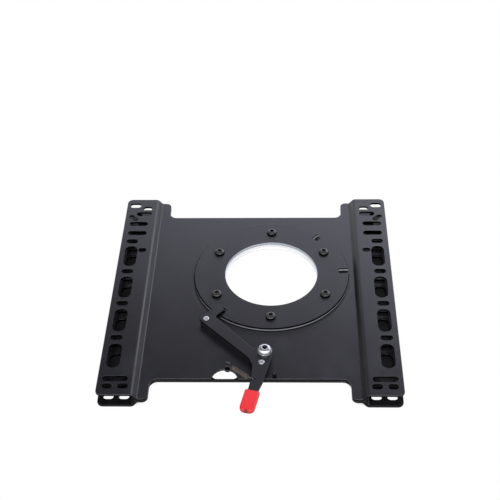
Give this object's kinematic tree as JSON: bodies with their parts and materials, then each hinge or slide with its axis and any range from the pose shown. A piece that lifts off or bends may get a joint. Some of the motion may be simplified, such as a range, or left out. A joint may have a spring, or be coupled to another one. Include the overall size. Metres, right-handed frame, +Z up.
{
  "type": "swivel seat base",
  "caption": "Flat turning base for a camper seat: two slotted steel plates that turn on each other about an offset hole, with a red-gripped latch lever.",
  "frame": {"origin": "on the swivel axis, at the underside of the bottom plate's centre sheet, in the mouth of the centre hole", "axes": "+Z up along the swivel axis, +Y to the rear, away from the lever's grip, +X to the right as seen from the grip"},
  "size_m": [0.362, 0.3892, 0.0294],
  "materials": {
    "black_coat": "satin black powder coat, fine texture",
    "black_screw": "black oxide, slightly oily",
    "zinc": "bright zinc plate",
    "slide": "black low-friction nylon",
    "spring": "oiled spring wire",
    "red_grip": "soft dipped vinyl, glossy"
  },
  "bodies": {
    "base": {"bottom_plate": "black_coat", "lower_slide_ring": "slide", "upper_slide_ring": "slide", "hub_ring": "black_coat", "lock_ring": "black_coat", "ring_screw_1": "black_screw", "ring_screw_2": "black_screw", "ring_screw_3": "black_screw", "ring_screw_4": "black_screw", "ring_screw_5": "black_screw", "ring_screw_6": "black_screw", "ring_nut_1": "zinc", "ring_nut_2": "zinc", "ring_nut_3": "zinc", "ring_nut_4": "zinc", "ring_nut_5": "zinc", "ring_nut_6": "zinc"},
    "turntable": {"top_plate": "black_coat", "pivot_bush": "zinc", "pivot_washer": "zinc", "pivot_bolt": "zinc", "spring_post": "black_coat", "stop_pin": "black_coat", "return_spring": "spring"},
    "lever": {"lever_plate": "black_coat", "pawl": "black_coat", "nose_rivet": "zinc", "heel_rivet": "zinc", "lever_grip": "red_grip"}
  },
  "joints": [
    {"name": "seat_swivel", "type": "hinge", "parent": "base", "child": "turntable", "pos_m": [0, 0, 0.005], "axis": [0, 0, 1], "range_deg": [-180, 180]},
    {"name": "latch_lever", "type": "hinge", "parent": "turntable", "child": "lever", "pos_m": [-0.0066, -0.1426, 0.011], "axis": [0, 0, 1], "range_deg": [-5.6, 10.5], "stiffness_Nm_per_rad": 2.4, "deforming": ["return_spring"]}
  ]
}
